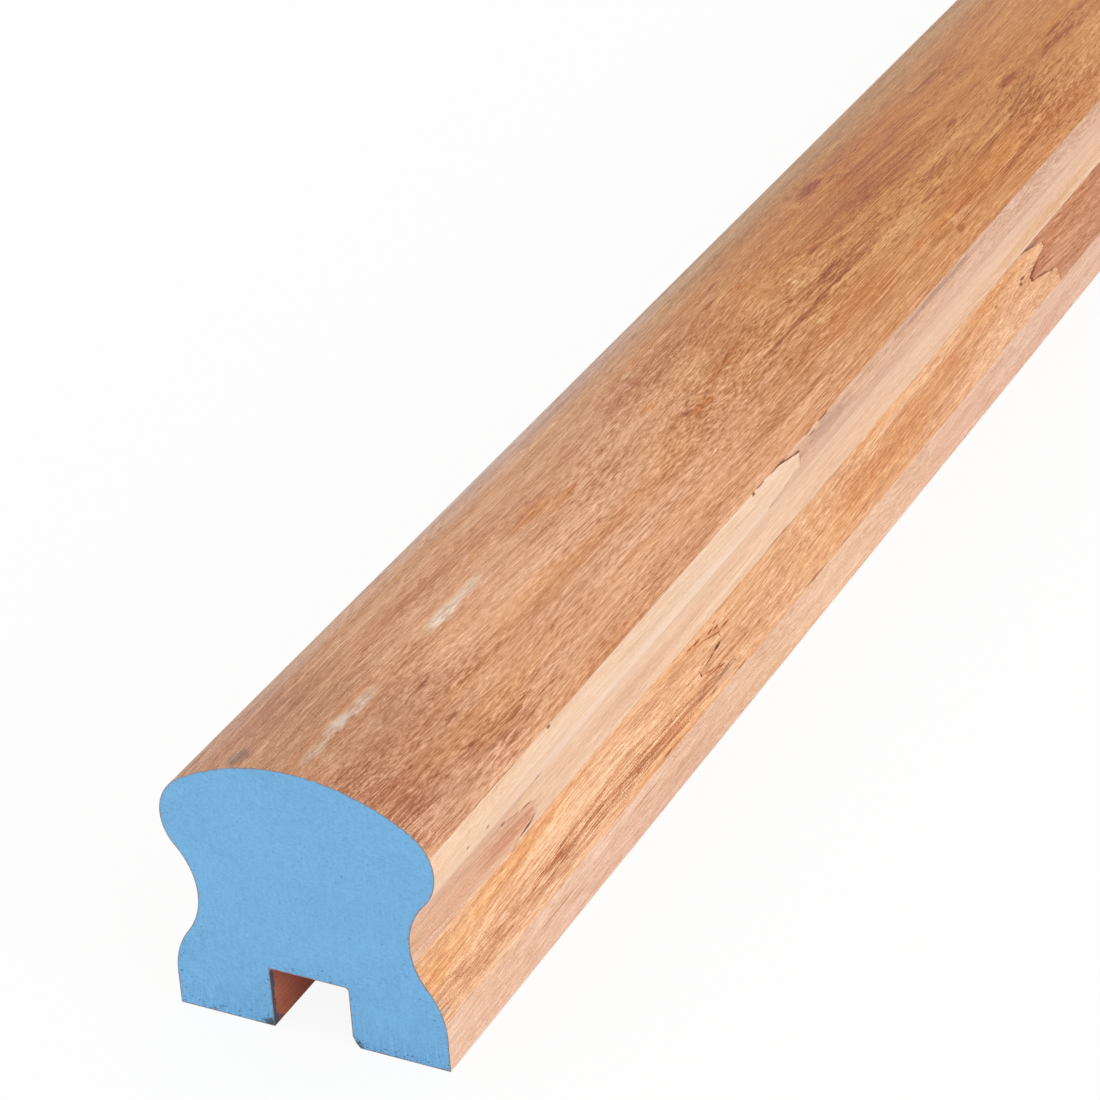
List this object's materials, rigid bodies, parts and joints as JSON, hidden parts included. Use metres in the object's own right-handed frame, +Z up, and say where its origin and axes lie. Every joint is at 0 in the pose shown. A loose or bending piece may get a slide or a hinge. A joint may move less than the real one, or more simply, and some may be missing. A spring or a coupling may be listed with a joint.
{
  "type": "wooden handrail",
  "caption": "Waisted timber stair handrail moulding, glued up from layers of finger-jointed boards, with a groove along its underside and sealed ends.",
  "frame": {"origin": "middle of the flat base, halfway along the length", "axes": "+Y runs along the rail towards its back end, with the front end of the picture at -Y, +Z is up from the base to the crown, +X is across to the right"},
  "size_m": [0.065, 2.4, 0.066],
  "materials": {
    "red_brown_wood": "planed and sanded, bare",
    "cream_wood": "planed and sanded, bare",
    "pink_wood": "planed and sanded, bare",
    "orange_wood": "planed and sanded, bare",
    "russet_wood": "planed and sanded, bare"
  },
  "bodies": {
    "root": {"crown_board_1": "red_brown_wood", "crown_board_2": "russet_wood", "crown_board_3": "red_brown_wood", "crown_board_4": "orange_wood", "crown_board_5": "red_brown_wood", "flank_board_1": "orange_wood", "flank_board_2": "orange_wood", "flank_board_3": "russet_wood", "flank_board_4": "cream_wood", "flank_board_5": "orange_wood", "flank_board_6": "red_brown_wood", "flank_board_7": "pink_wood", "foot_board_1_left": "pink_wood", "foot_board_1_right": "pink_wood", "foot_board_2_left": "red_brown_wood", "foot_board_2_right": "red_brown_wood", "foot_board_3_left": "cream_wood", "foot_board_3_right": "cream_wood", "foot_board_4_left": "pink_wood", "foot_board_4_right": "pink_wood", "foot_board_5_left": "orange_wood", "foot_board_5_right": "orange_wood", "shoulder_board_1": "cream_wood", "shoulder_board_2": "pink_wood", "shoulder_board_3": "cream_wood", "shoulder_board_4": "red_brown_wood", "shoulder_board_5": "pink_wood", "shoulder_board_6": "orange_wood", "waist_board_1": "pink_wood", "waist_board_2": "cream_wood", "waist_board_3": "russet_wood", "waist_board_4": "pink_wood", "waist_board_5": "orange_wood", "waist_board_6": "cream_wood", "waist_board_7": "red_brown_wood"}
  },
  "joints": []
}
